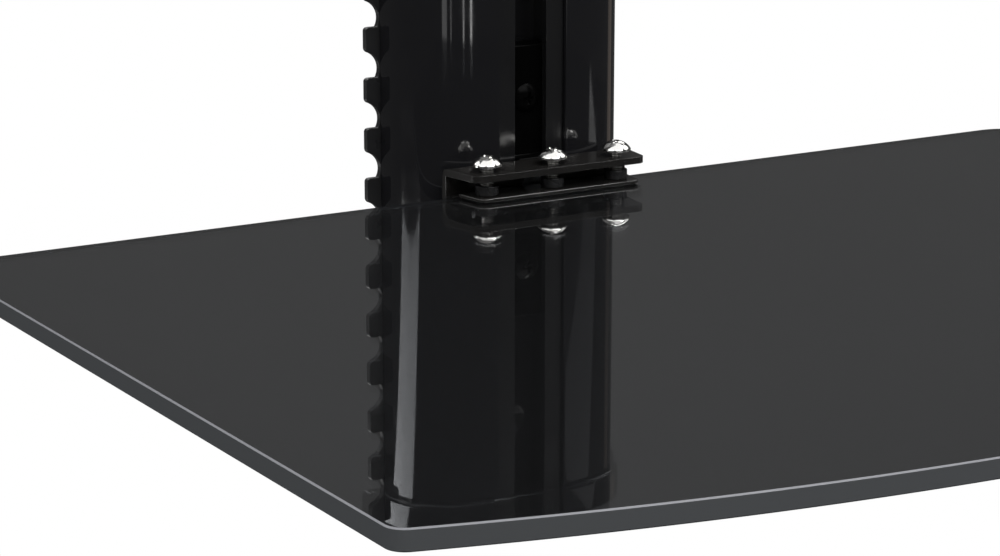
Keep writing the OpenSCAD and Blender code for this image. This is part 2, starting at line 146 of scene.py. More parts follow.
@dataclass(frozen=True)
class Finish:
    """A real surface: its colour, its gloss and the texture that its maker left."""

    name: str
    colour: str
    roughness: float
    metallic: float = 0.0
    ior: float = 1.5
    grain: float = 0.5            # width of the texture's features, in millimetres
    stretch: Place = (1, 1, 1)    # how much closer the texture repeats along each axis
    depth: float = 0.0            # height of the texture, in millimetres
    haze: float = 0.0             # how much the roughness wanders up and down
    patch: float = 12.0           # width of the patches in which it wanders, in millimetres
    coat: float = 0.0
    coat_roughness: float = 0.05

    def material(self) -> bpy.types.Material:
        """Builds the finish as a node material.

        Returns:
            The material.
        """
        made = bpy.data.materials.new(self.name)
        tree = blank(made)
        shader = add(tree, "ShaderNodeBsdfPrincipled", inputs={
            "Base Color": linear(self.colour), "Metallic": self.metallic, "IOR": self.ior,
            "Coat Weight": self.coat, "Coat Roughness": self.coat_roughness})
        self.dress(tree, shader)
        add(tree, "ShaderNodeOutputMaterial", inputs={"Surface": shader.outputs["BSDF"]})
        return made

    def dress(self, tree: Tree, shader: bpy.types.Node) -> None:
        """Adds the wandering roughness and the texture to the shader.

        Args:
            tree: The material's node tree.
            shader: Its principled shader.
        """
        place = add(tree, "ShaderNodeTexCoord")
        patches = add(tree, "ShaderNodeTexNoise", inputs={
            "Vector": place.outputs["Object"], "Scale": per_metre(self.patch),
            "Detail": PATCH_DETAIL})
        wander = add(tree, "ShaderNodeMapRange", inputs={
            "Value": patches.outputs["Fac"], "From Min": NOISE_RANGE[0], "From Max": NOISE_RANGE[1],
            "To Min": max(self.roughness - self.haze, 0.0), "To Max": self.roughness + self.haze})
        tree.links.new(wander.outputs["Result"], shader.inputs["Roughness"])
        if self.depth:
            turned = add(tree, "ShaderNodeMapping", inputs={
                "Vector": place.outputs["Object"], "Scale": self.stretch})
            texture = add(tree, "ShaderNodeTexNoise", inputs={
                "Vector": turned.outputs["Vector"], "Scale": per_metre(self.grain),
                "Detail": GRAIN_DETAIL})
            bump = add(tree, "ShaderNodeBump", inputs={
                "Height": texture.outputs["Fac"], "Strength": 1.0, "Distance": self.depth * MM})
            tree.links.new(bump.outputs["Normal"], shader.inputs["Normal"])


@dataclass(frozen=True)
class SmokedGlass(Finish):
    """Grey float glass, tempered: clear right through, with the tint of the whole sheet."""

    clearness: float = 0.988      # share of the light that goes into the glass

    def dress(self, tree: Tree, shader: bpy.types.Node) -> None:
        """Makes the shader clear."""
        super().dress(tree, shader)
        shader.inputs["Transmission Weight"].default_value = self.clearness


@cache
def material_of(finish: Finish) -> bpy.types.Material:
    """Builds a finish's material once, however many pieces wear it."""
    return finish.material()


# Gloss ABS, moulded or extruded: deep black, mirror-like, with the faint swell of a plastic skin.
GLOSS_ABS = Finish("gloss_black_abs", "#161618", 0.06, ior=1.49, grain=26, stretch=(1, 1, 0.12), depth=0.012,
                   haze=0.03)
# Powder coat on sheet steel: satin black with a fine pebble, drawn at 0.6 mm so that it shows.
POWDER_COAT = Finish("satin_black_powder_coat", "#202021", 0.30, grain=0.6, depth=0.010, haze=0.05)
# Black anodised aluminium: satin, with the die lines of the extrusion running up the rail.
ANODISED = Finish("black_anodised_aluminium", "#141415", 0.20, ior=1.6, grain=0.7, stretch=(1, 1, 0.01),
                  depth=0.004, haze=0.05)
# Electro-coat on folded steel: smooth semi-gloss black over a slightly wavy sheet.
E_COAT = Finish("black_electro_coat", "#1b1a19", 0.14, ior=1.6, grain=5, depth=0.006, haze=0.05)
# Black oxide on cut steel: dark, oily and a little uneven; its near-black colour and faint reflection are
# partly painted shade for the depth of the slot.
BLACK_OXIDE_SLOT_SHADE = Finish("black_oxide_steel", "#040404", 0.30, ior=1.1, grain=0.8, depth=0.006, haze=0.08)
# Nickel plate on rolled screws: mirror-bright and faintly warm.
NICKEL = Finish("bright_nickel_plate", "#e2e1de", 0.09, metallic=1.0, grain=0.8, depth=0.004, haze=0.04,
                patch=2)
# Zinc plate on small screws: a soft grey metal sheen.
ZINC = Finish("zinc_plate", "#b4b8bb", 0.32, metallic=1.0, grain=0.5, depth=0.004, haze=0.08, patch=2)
# Nitrile rubber: dull black, without a highlight.
NITRILE = Finish("nitrile_rubber", "#121212", 0.75, grain=0.5, depth=0.02, haze=0.08)
# Moulded nylon: black with a soft waxy sheen.
NYLON = Finish("black_nylon", "#232324", 0.28, ior=1.53, grain=0.7, depth=0.006, haze=0.06)
# Smoked float glass, 5 mm thick.
SMOKED = SmokedGlass("smoked_float_glass", "#a9abae", 0.003, ior=1.52, haze=0.003, patch=60, coat=1.0,
                     coat_roughness=0.0)
# Ground glass edge: dark grey and matt, with the grinding lines running along it.
GROUND_EDGE = Finish("ground_glass_edge", "#4e5052", 0.35, ior=1.0, grain=0.6, stretch=(0.05, 0.05, 1),
                     depth=0.01, haze=0.06)
# Upper ground arris: a frosted bevel whose pale colour is partly its frosting and partly a painted highlight
# of the light it catches as a pale line.
ARRIS_PAINTED_HIGHLIGHT = Finish("frosted_glass_arris", "#74757a", 0.40, ior=1.52, grain=0.5, depth=0.01, haze=0.06)


# Places and outlines

@dataclass(frozen=True)
class Span:
    """Box of a CAD node, in millimetres."""

    low: Vector
    high: Vector

    @classmethod
    def of(cls, node: str) -> "Span":
        """Reads the box of a node from the frame."""
        low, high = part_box(node)
        return cls(low / MM, high / MM)

    @property
    def centre(self) -> Vector:
        """Middle of the box."""
        return (self.low + self.high) / 2

    @property
    def size(self) -> Vector:
        """Width, depth and height of the box."""
        return self.high - self.low


def arc(centre: Point, radius: float, start: float, end: float, steps: int) -> list[Point]:
    """Points of an arc between two angles in degrees, one more than its flats."""
    turns = [math.radians(start + (end - start) * i / steps) for i in range(steps + 1)]
    return [(centre[0] + radius * math.cos(t), centre[1] + radius * math.sin(t)) for t in turns]


def level(points: Sequence[Point], height: float) -> list[Vector]:
    """Lays an outline in x and y at a height."""
    return [Vector((x, y, height)) for x, y in points]


def upright(points: Sequence[Point], depth: float) -> list[Vector]:
    """Stands an outline in x and z up at a depth."""
    return [Vector((x, depth, z)) for x, z in points]


# Meshes

def into_object(name: str, mesh: bmesh.types.BMesh) -> Piece:
    """Turns a mesh in millimetres into an object in metres, with its faces pointing outwards.

    Args:
        name: The piece's name.
        mesh: The mesh, which is freed.

    Returns:
        The object, linked to the scene.
    """
    bmesh.ops.remove_doubles(mesh, verts=mesh.verts, dist=WELD)
    bmesh.ops.recalc_face_normals(mesh, faces=mesh.faces)
    bmesh.ops.scale(mesh, vec=(MM, MM, MM), verts=mesh.verts)
    data = bpy.data.meshes.new(name)
    mesh.to_mesh(data)
    mesh.free()
    made = bpy.data.objects.new(name, data)
    bpy.context.scene.collection.objects.link(made)
    return made


def loft(name: str, rings: Sequence[Sequence[Vector]], band_slots: Sequence[int] = (),
         ends: bool = True) -> Piece:
    """Skins a row of rings that have equally many points.

    Args:
        name: The piece's name.
        rings: The rings, in order.
        band_slots: Material slot of each band between two rings; 0 where it is left out.
        ends: Whether the first and last ring are closed by a face.

    Returns:
        The object.
    """
    mesh = bmesh.new()
    rows = [[mesh.verts.new(p) for p in ring] for ring in rings]
    for band, (a, b) in enumerate(zip(rows, rows[1:])):
        for i in range(len(a)):
            j = (i + 1) % len(a)
            face = mesh.faces.new((a[i], a[j], b[j], b[i]))
            face.material_index = band_slots[band] if band < len(band_slots) else 0
    if ends:
        mesh.faces.new(rows[0])
        mesh.faces.new(rows[-1])
    return into_object(name, mesh)


def lathe(name: str, profile: Sequence[Point], steps: int = 48) -> Piece:
    """Turns a profile about the z axis.

    Args:
        name: The piece's name.
        profile: Radius and height of each point; a radius of 0 closes the skin.
        steps: Number of flats round the axis.

    Returns:
        The object.
    """
    closed = profile[0][0] == 0 and profile[-1][0] == 0
    turns = [2 * math.pi * i / steps for i in range(steps)]
    inner = profile[1:-1] if closed else profile
    rings = [[Vector((r * math.cos(t), r * math.sin(t), z)) for t in turns] for r, z in inner]
    if not closed:
        rings.append(rings[0])
    return loft(name, rings, ends=closed)


def baked(piece: Piece) -> Piece:
    """Applies a piece's modifiers.

    Args:
        piece: The object.

    Returns:
        The same object, with a plain mesh.
    """
    graph = bpy.context.evaluated_depsgraph_get()
    old = piece.data
    piece.data = bpy.data.meshes.new_from_object(piece.evaluated_get(graph), depsgraph=graph)
    piece.modifiers.clear()
    bpy.data.meshes.remove(old)
    return piece


def cut(piece: Piece, *tools: Piece) -> Piece:
    """Cuts tools out of a piece and removes them.

    Args:
        piece: The object that is cut.
        tools: Closed objects, which may not touch each other.

    Returns:
        The piece.
    """
    for tool in tools:
        step = piece.modifiers.new("cut", "BOOLEAN")
        step.operation = "DIFFERENCE"
        step.solver = "EXACT"
        step.object = tool
    baked(piece)
    for tool in tools:
        bpy.data.objects.remove(tool)
    return piece


def eased(piece: Piece, width: float, steps: int = 2, angle: float = 35) -> Piece:
    """Rounds a piece's sharp edges and shades the rest smoothly.

    Args:
        piece: The object.
        width: Width of the rounding, in millimetres; 0 only shades.
        steps: Number of flats over a rounding.
        angle: Smallest angle of an edge that is rounded, in degrees.

    Returns:
        The piece.
    """
    piece.data.polygons.foreach_set("use_smooth", [True] * len(piece.data.polygons))
    if width:
        step = piece.modifiers.new("ease", "BEVEL")
        step.width = width * MM
        step.segments = steps
        step.limit_method = "ANGLE"
        step.angle_limit = math.radians(angle)
        step.use_clamp_overlap = True
        baked(piece)
    piece.data.set_sharp_from_angle(angle=math.radians(angle + SHARP_MARGIN))
    step = piece.modifiers.new("shade", "WEIGHTED_NORMAL")
    step.mode = "FACE_AREA"
    step.weight = 100
    step.keep_sharp = True
    return baked(piece)


def moved(piece: Piece, place: Matrix) -> Piece:
    """Puts a piece's mesh in place and leaves its object at the origin.

    Args:
        piece: The object.
        place: Turn and place, with the place in metres.

    Returns:
        The piece.
    """
    piece.data.transform(place)
    piece.data.update()
    return piece


def aimed(place: Vector, axis: Vector, track: str = "Z") -> Matrix:
    """Turn and place that take a piece's own axis to an axis at a place in metres."""
    return Matrix.Translation(place) @ axis.to_track_quat(track, "Y").to_matrix().to_4x4()


def facing(place: Vector, axis: Vector) -> Matrix:
    """Turn and place that take the z axis to an axis at a place in millimetres."""
    return aimed(place * MM, axis)


def rod(radius: float, base: Vector, axis: Vector, length: float, top: float | None = None,
        steps: int = 32) -> Piece:
    """Round bar on a base along an axis, or a cone with another radius at its top, as a tool for a cut."""
    end = radius if top is None else top
    return moved(lathe("tool", [(0, 0), (radius, 0), (end, length), (0, length)], steps), facing(base, axis))


def dress(piece: Piece, finishes: Sequence[Finish], body: str, slot: str, *nodes: str) -> Piece:
    """Gives a piece its finishes, its body and the CAD nodes that it stands for.

    Args:
        piece: The finished object.
        finishes: One finish for each of its material slots.
        body: The body that it moves with.
        slot: The record's material slot; not used.
        nodes: The CAD nodes that it replaces.

    Returns:
        The piece.
    """
    slots = piece.data.materials
    if len(finishes) == 1:
        slots.clear()
    for finish in finishes:
        slots.append(material_of(finish))
    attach(piece, body)
    if nodes:
        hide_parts(*nodes)
    LOG.info("%s: %d faces on %s", piece.name, len(piece.data.polygons), body)
    return piece


# Geometry node trees

@dataclass
class GeometryTree:
    """A geometry node tree that takes a mesh and named inputs, and gives one plain mesh."""

    name: str
    tree: Tree = field(init=False)
    start: bpy.types.Node = field(init=False)

    def __post_init__(self) -> None:
        """Makes the tree with its geometry sockets and its material input."""
        self.tree = bpy.data.node_groups.new(self.name, "GeometryNodeTree")
        sockets = self.tree.interface
        sockets.new_socket("Geometry", in_out="INPUT", socket_type="NodeSocketGeometry")
        sockets.new_socket("Geometry", in_out="OUTPUT", socket_type="NodeSocketGeometry")
        sockets.new_socket("Material", in_out="INPUT", socket_type="NodeSocketMaterial")
        self.start = add(self.tree, "NodeGroupInput")

    def named(self, name: str, kind: str) -> Socket:
        """Adds a named Float, Int, Vector or Object input and gives the socket with its value."""
        self.tree.interface.new_socket(name, in_out="INPUT", socket_type=f"NodeSocket{kind}")
        return self.start.outputs[name]

    def node(self, kind: str, inputs: dict[Any, Any] | None = None, **settings: Any) -> bpy.types.Node:
        """Adds a geometry node to the tree."""
        return add(self.tree, f"GeometryNode{kind}", settings, inputs)

    def maths(self, operation: str, *values: Any) -> Socket:
        """Adds a sum of one or two values and gives its result."""
        return add(self.tree, "ShaderNodeMath", {"operation": operation}, dict(enumerate(values))).outputs[0]

    def along(self, axis: str, distance: Any) -> Socket:
        """Gives the vector that goes a distance along the X, Y or Z axis."""
        return add(self.tree, "ShaderNodeCombineXYZ", inputs={axis: distance}).outputs[0]

    def joined(self, *parts: Socket) -> Socket:
        """Joins the mesh that goes in and other parts.

        Args:
            parts: Geometry sockets of the other parts.

        Returns:
            The socket of the whole.
        """
        both = self.node("JoinGeometry")
        for part in (self.start.outputs["Geometry"], *parts):
            self.tree.links.new(part, both.inputs[0])
        return both.outputs[0]

    def close(self, geometry: Socket) -> None:
        """Ends the tree: instances made real, and the material set.

        Args:
            geometry: Socket of the finished geometry.
        """
        real = self.node("RealizeInstances", {"Geometry": geometry})
        shown = self.node("SetMaterial", {"Geometry": real.outputs[0],
                                          "Material": self.start.outputs["Material"]})
        add(self.tree, "NodeGroupOutput", inputs={"Geometry": shown.outputs[0]})

    def run(self, piece: Piece, **values: Any) -> Piece:
        """Runs the tree on a piece.

        Args:
            piece: The object whose mesh goes in.
            values: The tree's inputs by name, with an underscore for each blank.

        Returns:
            The piece, with the result as its plain mesh.
        """
        step = piece.modifiers.new(self.name, "NODES")
        step.node_group = self.tree
        names = {item.name.replace(" ", "_"): item.identifier for item in self.tree.interface.items_tree
                 if item.in_out == "INPUT"}
        for name, value in values.items():
            step[names[name]] = value
        return baked(piece)


@cache
def notched_edge_tree() -> GeometryTree:
    """Tree that stacks one pitch of a notched plate and welds the row to the plate's two ends.

    Returns:
        The tree.
    """
    made = GeometryTree("notched_edge")
    cell = made.named("Cell", "Object")
    count = made.named("Count", "Int")
    pitch, first, weld = (made.named(name, "Float") for name in ("Pitch", "First", "Weld"))
    row = made.node("MeshLine", {"Count": count, "Start Location": made.along("Z", first),
                                 "Offset": made.along("Z", pitch)}, mode="OFFSET")
    unit = made.node("ObjectInfo", {"Object": cell})
    cells = made.node("InstanceOnPoints", {"Points": row.outputs[0], "Instance": unit.outputs["Geometry"]})
    real = made.node("RealizeInstances", {"Geometry": cells.outputs[0]})
    welded = made.node("MergeByDistance", {"Geometry": made.joined(real.outputs[0]), "Distance": weld})
    made.close(welded.outputs[0])
    return made


@cache
def thread_tree() -> GeometryTree:
    """Tree that adds a shank with a rolled thread under a screw's head.

    Returns:
        The tree.
    """
    made = GeometryTree("rolled_thread")
    radius, length, pitch, top = (
        made.named(name, "Float") for name in ("Radius", "Length", "Pitch", "Top"))
    ridge = made.maths("MULTIPLY", pitch, 0.5)
    core = made.maths("SUBTRACT", radius, ridge)
    foot = made.maths("SUBTRACT", top, length)
    shank = made.node("MeshCylinder", {"Vertices": SHANK_FLATS, "Radius": core, "Depth": length})
    middle = made.maths("SUBTRACT", top, made.maths("MULTIPLY", length, 0.5))
    standing = made.node("Transform", {"Geometry": shank.outputs["Mesh"],
                                       "Translation": made.along("Z", middle)})
    turns = made.maths("DIVIDE", length, pitch)
    helix = made.node("CurveSpiral", {"Resolution": THREAD_FLATS, "Rotations": turns,
                                      "Start Radius": core, "End Radius": core, "Height": length})
    level_helix = made.node("SetCurveNormal", {"Curve": helix.outputs[0]})
    level_helix.mode = "Z_UP"
    rise = made.node("Transform", {"Geometry": level_helix.outputs[0], "Translation": made.along("Z", foot)})
    crest = made.node("CurvePrimitiveCircle", {"Resolution": RIDGE_CORNERS, "Radius": ridge}, mode="RADIUS")
    swept = made.node("CurveToMesh", {"Curve": rise.outputs[0], "Profile Curve": crest.outputs["Curve"],
                                      "Fill Caps": True})
    made.close(made.joined(standing.outputs[0], swept.outputs[0]))
    return made


@cache
def field_tree() -> GeometryTree:
    """Tree that repeats a small screw in columns along x and rows along z.

    Returns:
        The tree.
    """
    made = GeometryTree("screw_field")
    columns, rows = made.named("Columns", "Int"), made.named("Rows", "Int")
    wide, high = made.named("Wide", "Float"), made.named("High", "Float")
    start = made.named("Start", "Vector")
    row = made.node("MeshLine", {"Count": columns, "Start Location": start, "Offset": made.along("X", wide)},
                    mode="OFFSET")
    stack = made.node("MeshLine", {"Count": rows, "Offset": made.along("Z", high)}, mode="OFFSET")
    grid = made.node("InstanceOnPoints", {"Points": stack.outputs[0], "Instance": row.outputs[0]})
    points = made.node("RealizeInstances", {"Geometry": grid.outputs[0]})
    screws = made.node("InstanceOnPoints", {"Points": points.outputs[0],
                                            "Instance": made.start.outputs["Geometry"]})
    made.close(screws.outputs[0])
    return made


# Screws

class Head(Enum):
    """Shape of a screw's head."""

    TRUSS = "low dome on a thin rim"
    FLAT = "countersunk"


@dataclass(frozen=True)
class Screw:
    """A cross-recess screw that stands on z = 0 with its head upwards, or hangs flush below z = 0."""

    head: Head
    head_d: float
    head_h: float
    thread_d: float
    length: float
    pitch: float
    rim: float = 0.6
    edge_share: float = 0.4       # of the rim, that its lower edge is eased
    lip_share: float = 0.125      # of a flat head's height, above its cone
    dome_flats: int = 14
    recess_share: float = 0.52    # of the head's diameter, across the recess
    recess_depth_share: float = 0.55
    recess_rings: tuple[Point, ...] = ((0.35, 1.0), (0.92, 0.25))   # shares of its width and its depth
    blade: float = 1.0
    fillet_share: float = 1.6     # of half the blade, to the recess's inner corners

    def profile(self) -> list[Point]:
        """Draws the head's outline, from its underside up.

        Returns:
            Radius and height of each point.
        """
        r = self.head_d / 2
        if self.head is Head.FLAT:
            lip = self.head_h * self.lip_share
            return [(0, -self.head_h), (self.thread_d / 2, -self.head_h), (r, -lip), (r, 0), (0, 0)]
        dome = self.head_h - self.rim
        ball = (r * r + dome * dome) / (2 * dome)
        reach = math.degrees(math.asin(r / ball))
        top = [(ball * math.sin(math.radians(t)), self.head_h - ball + ball * math.cos(math.radians(t)))
               for t in (reach * (1 - i / self.dome_flats) for i in range(self.dome_flats))]
        edge = self.rim * self.edge_share
        return [(0, 0), (r - edge, 0), (r, edge), (r, self.rim), *top[1:], (0, self.head_h)]

    def recess(self) -> Piece:
        """Makes the cross-shaped tool that cuts the recess.

        Returns:
            The tool, which narrows towards its tip.
        """
        reach = self.head_d * self.recess_share / 2
        half = self.blade / 2
        top = 0.0 if self.head is Head.FLAT else self.head_h
        depth = self.head_h * self.recess_depth_share
        corner = half * self.fillet_share
        arm = [(reach, -half), (reach, half), (corner, half)]
        cross = [(x * math.cos(t) - y * math.sin(t), x * math.sin(t) + y * math.cos(t))
                 for t in (0, math.pi / 2, math.pi, 3 * math.pi / 2) for x, y in arm]
        places = [(wide, top - depth * deep) for wide, deep in self.recess_rings] + [(1, top + self.rim)]
        rings = [level([(x * wide, y * wide) for x, y in cross], z) for wide, z in places]
        return loft("recess", rings)

    def build(self, name: str) -> Piece:
        """Makes the screw on the z axis.

        Args:
            name: The piece's name.

        Returns:
            The object.
        """
        head = lathe(name, self.profile())
        cut(head, self.recess())
        eased(head, 0.0)
        top = (-self.head_h if self.head is Head.FLAT else 0.0) + self.rim / 2
        return thread_tree().run(head, Radius=self.thread_d / 2 * MM, Length=self.length * MM,
                                 Pitch=self.pitch * MM, Top=top * MM)


# Column

@dataclass
class Column:
    """Notched wall plate, slotted rail, two curved covers and two caps."""

    bulge: float = 25.4            # depth of the curved body in front of the plate
    fullness: float = 3.0          # of the curved body: 2 is an ellipse, more has squarer shoulders
    cover_wall: float = 2.0
    hook_setback: float = 4.6
    hook_reach: float = 1.2
    hook_t: float = 1.8
    foot_w: float = 9.0
    foot_t: float = 3.0
    cover_gap: float = 0.15
    tooth_pitch: float = 15.4
    notch_depth: float = 4.6
    notch_r: float = 5.4
    notch_lift: float = 2.7        # centre of a notch above its ledge
    tip_r: float = 1.1             # upper corner of a tooth
    chin_r: float = 1.6            # lower corner of a tooth
    first_ledge: float = 3.1
    slot_w: float = 11.0
    lip_t: float = 2.5
    channel_w: float = 16.6
    channel_d: float = 9.2
    groove_play: float = 0.3
    wall_hole_d: float = 5.5
    wall_sink_d: float = 10.0
    wall_hole_l: float = 20.0      # enough to pass the rail's back
    wall_holes: tuple[float, ...] = (-120.0, -40.0, 40.0, 120.0)
    cap_gap: float = 0.2
    cap_wall: float = 2.0
    cap_floor: float = 2.5
    cap_skirt: float = 7.5
    cap_rim_r: float = 1.5
    cap_foot_r: float = 1.0
    cap_screw: tuple[float, ...] = (1.8, 2.8, 12.0, 0.8)   # head height, thread, length and pitch
    cover_screw_head_d: float = 5.6
    plate_screw_head_h: float = 1.4
    plate_screw_pitch: float = 0.7
    plate_screw_play: float = 1.0  # free depth under the tip
    plate_screw_rows: int = 3
    thread_share: float = 0.54     # of the head's diameter
    sink_tip_r: float = 0.01
    plate_ease: float = 0.25
    rail_ease: float = 0.35
    cover_ease: float = 0.3
    ease_flats: int = 3
    tip_flats: int = 6
    notch_flats: int = 20
    chin_flats: int = 7
    cap_foot_flats: int = 4
    cap_rim_flats: int = 6
    curve_steps: int = 96
    row_weld: float = 0.01

    def __post_init__(self) -> None:
        """Reads the places of the CAD nodes."""
        self.plate = Span.of("wall_plate")
        self.rail = Span.of("rail")
        self.half_w = Span.of("right_cover").high.x
        self.plate_y = self.plate.low.y

    def build(self) -> None:
        """Makes every piece of the column."""
        self.wall_plate()
        self.slotted_rail()
        for side, name in ((-1, "left_cover"), (1, "right_cover")):
            self.cover(side, name)
        for side, name in ((-1, "bottom_cap"), (1, "top_cap")):
            self.cap(side, name)
        self.small_screws()

    def tooth(self) -> list[Point]:
        """Draws the right edge of one pitch of the plate.

        Returns:
            Its points in x and z, from the top of a ledge at 0 to the chin of the next tooth.
        """
        tip = self.plate.high.x
        inset = self.notch_r - self.notch_depth
        lift = math.sqrt((self.notch_r + self.chin_r) ** 2 - (inset + self.chin_r) ** 2)
        turn = math.degrees(math.atan2(lift, -(inset + self.chin_r)))
        ledge = math.degrees(math.asin(-self.notch_lift / self.notch_r))
        return (arc((tip - self.tip_r, -self.tip_r), self.tip_r, 0, 90, self.tip_flats)
                + arc((tip + inset, self.notch_lift), self.notch_r, 180 - ledge, turn, self.notch_flats)
                + arc((tip - self.chin_r, self.notch_lift + lift), self.chin_r, turn - 180, 0,
                      self.chin_flats))

    def plate_band(self, mesh: bmesh.types.BMesh, edge: Sequence[Point], foot: bool, head: bool) -> None:
        """Adds a band of the plate: front, back and both edges.

        Args:
            mesh: The mesh that gets the band.
            edge: Its right edge, upwards.
            foot: Whether its lower end is closed.
            head: Whether its upper end is closed.
        """
        ring = list(edge) + [(-x, z) for x, z in reversed(edge)]
        front, back = ([mesh.verts.new(p) for p in upright(ring, y)]
                       for y in (self.plate_y, self.plate.high.y))
        mesh.faces.new(front)
        mesh.faces.new(list(reversed(back)))
        for i in range(len(ring)):
            j = (i + 1) % len(ring)
            is_head, is_foot = i == len(edge) - 1, i == len(ring) - 1
            if (is_head and not head) or (is_foot and not foot):
                continue
            mesh.faces.new((front[j], front[i], back[i], back[j]))

    def wall_plate(self) -> None:
        """Plate against the wall, whose two edges carry a row of round notches."""
        tip, foot = self.plate.high.x, self.plate.low.z
        edge = self.tooth()
        bottom = edge[0][1]
        edge = edge + [(tip, bottom + self.tooth_pitch)]
        reach = edge[-2][1]
        start = foot + self.first_ledge
        count = int((self.plate.high.z - self.cap_skirt - reach - start) / self.tooth_pitch) + 1
        cell = bmesh.new()
        self.plate_band(cell, edge, False, False)
        unit = into_object("cell", cell)
        ends = bmesh.new()
        self.plate_band(ends, [(tip, foot), (tip, start + bottom)], True, False)
        last = start + bottom + count * self.tooth_pitch
        self.plate_band(ends, [(tip, last), (tip, self.plate.high.z)], False, True)
        piece = into_object("notched_wall_plate", ends)
        notched_edge_tree().run(piece, Cell=unit, Count=count, Pitch=self.tooth_pitch * MM, First=start * MM,
                                Weld=self.row_weld * MM, Material=material_of(POWDER_COAT))
        bpy.data.objects.remove(unit)
        back = Vector((0, 1, 0))
        over = self.plate.size.y
        tools = [rod(self.wall_hole_d / 2, Vector((0, self.plate_y - over, z)), back, 3 * over)
                 for z in self.wall_holes]
        cut(piece, *tools)
        eased(piece, self.plate_ease)
        dress(piece, [POWDER_COAT], "column", "plate_black", "wall_plate")

    def slotted_rail(self) -> None:
        """Extrusion with two lips beside a deep slot."""
        lip, back = self.rail.low.y, self.rail.high.y
        half, slot, channel = self.rail.high.x, self.slot_w / 2, self.channel_w / 2
        floor = lip + self.lip_t + self.channel_d
        groove_y = lip + self.hook_setback - self.groove_play / 2
        groove = [(half, groove_y + self.hook_t + self.groove_play),
                  (half - self.hook_reach, groove_y + self.hook_t + self.groove_play),
                  (half - self.hook_reach, groove_y), (half, groove_y)]
        right = [(half, back), *groove, (half, lip), (slot, lip), (slot, lip + self.lip_t),
                 (channel, lip + self.lip_t), (channel, floor)]
        section = right + [(-x, y) for x, y in reversed(right)]
        piece = loft("slotted_rail", [level(section, z) for z in (self.rail.low.z, self.rail.high.z)])
        sink = (self.wall_sink_d - self.wall_hole_d) / 2
        over = self.lip_t
        for z in self.wall_holes:
            start, back_axis = Vector((0, floor - over, z)), Vector((0, 1, 0))
            cut(piece, rod(self.wall_hole_d / 2, start, back_axis, self.wall_hole_l),
                rod(self.wall_sink_d / 2 + over, start, back_axis, sink + over, self.wall_hole_d / 2))
        eased(piece, self.rail_ease, self.ease_flats)
        dress(piece, [ANODISED], "column", "rail_black", "rail")

    def turn_at(self, share: float) -> float:
        """Turn along the curved body, in degrees, at which x or the depth is this share of the whole."""
        return math.degrees(math.acos(share ** (self.fullness / 2)))

    def curve(self, a: float, b: float, start: float, end: float) -> list[Point]:
        """Draws part of the curved body in front of the plate.

        Args:
            a: Half width of the curve.
            b: Its depth in front of the plate.
            start: Turn of the first point from the right side, in degrees.
            end: Turn of the last point.

        Returns:
            The points in x and y.
        """
        power = 2 / self.fullness
        steps = self.curve_steps
        turns = [math.radians(start + (end - start) * i / steps) for i in range(steps + 1)]
        shares = [(math.cos(t), abs(math.sin(t))) for t in turns]
        return [(math.copysign(a * abs(x) ** power, x), self.plate_y - b * y ** power) for x, y in shares]

    def cover(self, side: int, name: str) -> None:
        """Curved cover with its hook in the rail and its foot on the plate.

        Args:
            side: 1 on the right and -1 on the left.
            name: The CAD node's name.
        """
        edge = self.rail.high.x + self.cover_gap
        a, b, wall = self.half_w, self.bulge, self.cover_wall
        inner_a, inner_b = a - wall, b - wall
        foot_y = self.plate_y - self.foot_t
        hook = self.rail.low.y + self.hook_setback
        outer = self.curve(a, b, 0, self.turn_at(edge / a))
        inner = self.curve(inner_a, inner_b, self.turn_at((edge + wall) / inner_a),
                           90 - self.turn_at(self.foot_t / inner_b))
        tip = self.rail.high.x - self.hook_reach + self.cover_gap
        section = (outer + [(edge, hook), (tip, hook), (tip, hook + self.hook_t)]
                   + [(edge + wall, hook + self.hook_t)] + inner
                   + [(a - self.foot_w, foot_y), (a - self.foot_w, self.plate_y)])
        section = [(side * x, y) for x, y in section]
        span = Span.of(name)
        piece = loft(name + "_shell", [level(section, z) for z in (span.low.z, span.high.z)])
        eased(piece, self.cover_ease, self.ease_flats)
        dress(piece, [GLOSS_ABS], "column", "gloss_black", name)

    def cap_outline(self, grown: float) -> list[Point]:
        """Draws the outline round the covers and the wall plate.

        Args:
            grown: How much larger it is than they are.

        Returns:
            The points in x and y.
        """
        a, b = self.half_w + grown, self.bulge + grown
        strip_x, strip_y = self.plate.high.x + grown, self.plate_y - grown
        start = 90 - self.turn_at(grown / b) if grown > 0 else 0.0
        return ([(strip_x, self.plate.high.y), (strip_x, strip_y)] + self.curve(a, b, start, 180 - start)
                + [(-strip_x, strip_y), (-strip_x, self.plate.high.y)])

    def cap(self, side: int, name: str) -> None:
        """Cap with a rounded rim, which closes one end of the column.

        Args:
            side: 1 at the top and -1 at the foot.
            name: The CAD node's name.
        """
        span = Span.of(name)
        closed, rim = (span.high.z, span.low.z) if side > 0 else (span.low.z, span.high.z)
        full = self.cap_gap + self.cap_wall
        foot = [(full - self.cap_foot_r + r, closed - side * (self.cap_foot_r - z))
                for r, z in arc((0, 0), self.cap_foot_r, 90, 0, self.cap_foot_flats)]
        edge = [(full - self.cap_rim_r + r, rim + side * (self.cap_rim_r - z))
                for r, z in arc((0, 0), self.cap_rim_r, 0, 90, self.cap_rim_flats)]
        inner = [(self.cap_gap, rim), (self.cap_gap, closed - side * self.cap_floor)]
        rings = [level(self.cap_outline(grown), z) for grown, z in foot + edge + inner]
        piece = loft("column_" + name, rings)
        screws = Span.of(name + "_screws")
        head_r = screws.size.y / 2
        axis = Vector((0, 0, -side))
        over = self.cap_gap
        tools = [rod(head_r + over, Vector((x, screws.centre.y, closed + side * over)), axis, head_r + over,
                     self.sink_tip_r) for x in (head_r - screws.high.x, screws.high.x - head_r)]
        cut(piece, *tools)
        eased(piece, 0.0)
        dress(piece, [GLOSS_ABS], "column", "gloss_black", name)

